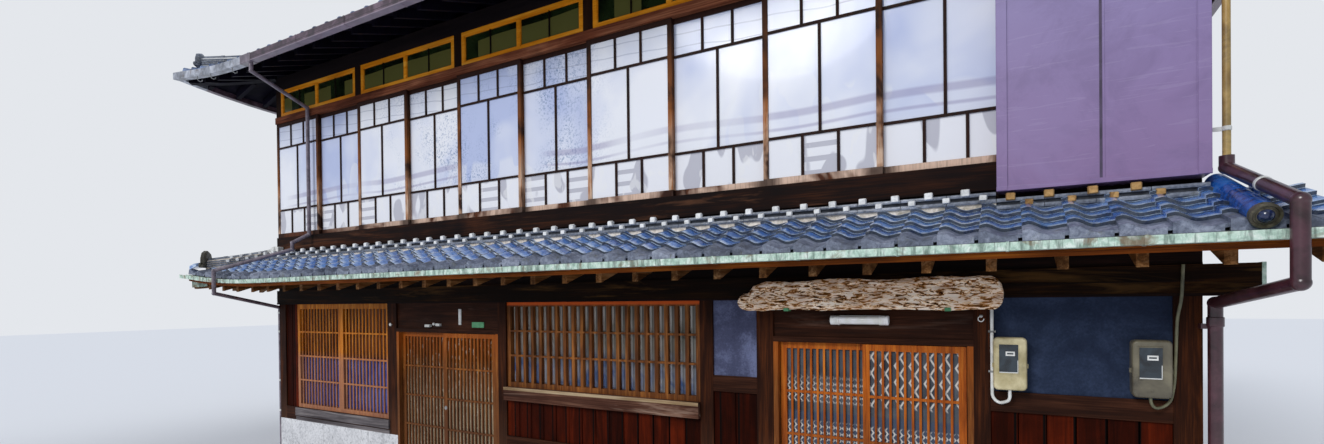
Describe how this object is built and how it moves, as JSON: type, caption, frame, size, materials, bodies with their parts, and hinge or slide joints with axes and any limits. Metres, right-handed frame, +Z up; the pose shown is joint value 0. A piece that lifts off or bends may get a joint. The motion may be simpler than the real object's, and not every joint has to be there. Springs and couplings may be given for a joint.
{
  "type": "machiya townhouse",
  "caption": "Two-storey timber townhouse with a lattice street front, sliding lattice doors, a glazed upper storey, a tiled pent roof and a hipped main roof.",
  "frame": {"origin": "middle of the box round the whole house, on the ground", "axes": "+X to the right along the street front, +Y into the house, +Z up"},
  "size_m": [11.88, 9.2078, 7.197],
  "materials": {
    "concrete": "weathered concrete with stains",
    "concrete_floor": "trodden concrete",
    "floor_boards": "worn floor boards",
    "dark_timber": "dark stained weathered timber",
    "lintel_timber": "smoked brown beam",
    "lattice_timber": "orange brown lattice wood",
    "lattice_glass": "ribbed glass behind the lattice",
    "sill_timber": "bleached board",
    "wainscot_timber": "red brown boards",
    "blue_plaster": "blue grey plaster",
    "threshold_timber": "worn threshold",
    "sash_timber": "weathered sash wood",
    "frosted_glass": "misted pane",
    "honey_timber": "honey coloured varnished wood",
    "shutter_paint": "purple painted sheet",
    "clay_plaster": "clay plaster",
    "blue_tile": "blue slate glazed tile",
    "eave_timber": "orange brown eave board",
    "rafter_timber": "brown rafters",
    "verdigris": "pale green weathered copper",
    "ridge_tile": "grey blue ridge tile",
    "glazed_roll": "deep blue glaze",
    "grey_tile": "grey lavender tile",
    "soffit_timber": "dark soffit",
    "brown_gutter": "brown painted gutter",
    "brown_pipe": "brown downpipe",
    "pale_pipe": "yellowed white pipe",
    "driftwood": "bleached plank",
    "lamp_white": "white lamp cover",
    "meter_case": "beige meter case"
  },
  "bodies": {
    "root": {"foundation": "concrete", "ground_floor": "concrete_floor", "upper_floor": "floor_boards", "ground_posts": "dark_timber", "ground_sills": "dark_timber", "lintel_beam": "lintel_timber", "front_girt": "dark_timber", "upper_sill": "dark_timber", "upper_posts": "dark_timber", "upper_head": "dark_timber", "wall_plate": "dark_timber", "left_window_lattice": "lattice_timber", "middle_window_lattice": "lattice_timber", "ground_window_glass": "lattice_glass", "window_sill_board": "sill_timber", "wainscot_boards": "wainscot_timber", "front_plaster": "blue_plaster", "door_heads": "dark_timber", "door_thresholds": "threshold_timber", "door_jambs": "dark_timber", "front_sashes": "sash_timber", "upper_front_glass": "frosted_glass", "transom_frames": "honey_timber", "shutter_box": "shutter_paint", "upper_end_panel": "dark_timber", "left_wall": "clay_plaster", "right_wall": "clay_plaster", "back_wall": "clay_plaster", "back_windows": "sash_timber", "back_glass": "frosted_glass", "lower_roof_front": "blue_tile", "lower_roof_left": "blue_tile", "lower_eave_boards": "eave_timber", "lower_rafters": "rafter_timber", "lower_gutter": "verdigris", "lower_ridges": "ridge_tile", "roll_tile": "glazed_roll", "upper_roof_front": "grey_tile", "upper_roof_back": "grey_tile", "upper_roof_left": "grey_tile", "upper_roof_right": "grey_tile", "upper_rafters": "soffit_timber", "upper_gutter": "brown_gutter", "upper_ridges": "ridge_tile", "left_downpipe": "brown_pipe", "right_downpipe": "brown_pipe", "vent_pipe": "pale_pipe", "sign_board": "driftwood", "porch_lamp": "lamp_white", "meters": "meter_case"},
    "left_door_left": {"left_door_left_leaf": "lattice_timber", "left_door_left_glass": "lattice_glass"},
    "left_door_right": {"left_door_right_leaf": "lattice_timber", "left_door_right_glass": "lattice_glass"},
    "entrance_left": {"entrance_left_leaf": "lattice_timber", "entrance_left_glass": "lattice_glass"},
    "entrance_right": {"entrance_right_leaf": "lattice_timber", "entrance_right_glass": "lattice_glass"}
  },
  "joints": [
    {"name": "left_door_left_slide", "type": "slide", "parent": "root", "child": "left_door_left", "axis": [1, 0, 0], "range_m": [0, 0.773]},
    {"name": "left_door_right_slide", "type": "slide", "parent": "root", "child": "left_door_right", "axis": [1, 0, 0], "range_m": [-0.773, 0]},
    {"name": "entrance_left_slide", "type": "slide", "parent": "root", "child": "entrance_left", "axis": [1, 0, 0], "range_m": [0, 0.672]},
    {"name": "entrance_right_slide", "type": "slide", "parent": "root", "child": "entrance_right", "axis": [1, 0, 0], "range_m": [-0.672, 0]}
  ]
}
